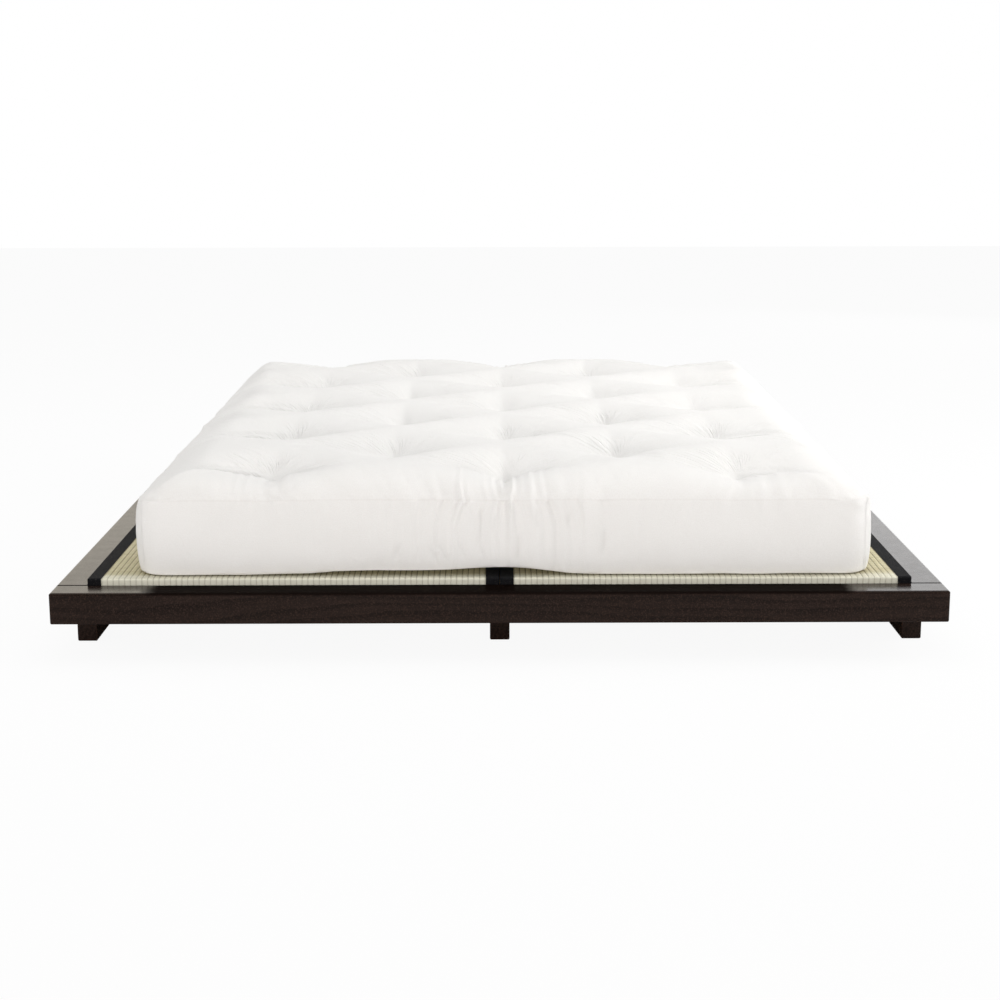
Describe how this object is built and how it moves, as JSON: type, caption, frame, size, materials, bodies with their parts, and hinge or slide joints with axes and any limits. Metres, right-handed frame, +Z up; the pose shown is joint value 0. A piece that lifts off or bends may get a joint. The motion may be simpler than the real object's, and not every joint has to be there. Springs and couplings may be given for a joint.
{
  "type": "tatami platform bed",
  "caption": "Low dark-stained wooden platform bed on floor runners, with bordered rush mats let into its frame and a tufted cotton mattress on top.",
  "frame": {"origin": "on the floor, at the middle of the bed's plan", "axes": "+Z up, -Y towards the foot end that faces the viewer, +X to the right of someone who looks at the foot end"},
  "size_m": [1.94, 2.139, 0.3953],
  "materials": {
    "stained_wood": "satin",
    "pine": "matte",
    "beech": "matte",
    "zinc_steel": "satin",
    "webbing": "matte",
    "rush_weave": "satin",
    "border_cloth": "matte",
    "straw_core": "matte",
    "backing_sheet": "matte",
    "cotton_case": "matte",
    "cotton_batting": "matte",
    "fibre_layer": "matte",
    "twine": "matte"
  },
  "bodies": {
    "frame": {"front_rail": "stained_wood", "rear_rail": "stained_wood", "left_rail": "stained_wood", "right_rail": "stained_wood", "left_runner": "stained_wood", "centre_runner": "stained_wood", "right_runner": "stained_wood", "centre_beam": "pine", "slat_tapes": "webbing", "left_ledge": "pine", "right_ledge": "pine", "front_left_ledge": "pine", "front_right_ledge": "pine", "rear_left_ledge": "pine", "rear_right_ledge": "pine", "slat_1": "pine", "slat_2": "pine", "slat_3": "pine", "slat_4": "pine", "slat_5": "pine", "slat_6": "pine", "slat_7": "pine", "slat_8": "pine", "slat_9": "pine", "slat_10": "pine", "slat_11": "pine", "slat_12": "pine", "slat_13": "pine", "slat_14": "pine", "corner_bolts": "zinc_steel", "corner_washers": "zinc_steel", "corner_inserts": "zinc_steel", "corner_dowels": "beech", "runner_bolts": "zinc_steel", "runner_inserts": "zinc_steel", "ledge_screws": "zinc_steel", "slat_screws": "zinc_steel", "beam_hangers": "zinc_steel", "hanger_screws": "zinc_steel"},
    "mats": {"left_mat_core": "straw_core", "left_mat_rush_cover": "rush_weave", "left_mat_outer_border": "border_cloth", "left_mat_inner_border": "border_cloth", "left_mat_backing": "backing_sheet", "right_mat_core": "straw_core", "right_mat_rush_cover": "rush_weave", "right_mat_outer_border": "border_cloth", "right_mat_inner_border": "border_cloth", "right_mat_backing": "backing_sheet"},
    "mattress": {"futon_top_panel": "cotton_case", "futon_boxing": "cotton_case", "futon_bottom_panel": "cotton_case", "futon_upper_batting": "cotton_batting", "futon_firm_layer": "fibre_layer", "futon_lower_batting": "cotton_batting", "futon_tufts": "twine"}
  },
  "joints": [
    {"name": "mats_lift", "type": "slide", "parent": "frame", "child": "mats", "axis": [0, 0, 1], "range_m": [0, 0.15]},
    {"name": "mattress_lift", "type": "slide", "parent": "mats", "child": "mattress", "axis": [0, 0, 1], "range_m": [0, 0.3]}
  ]
}
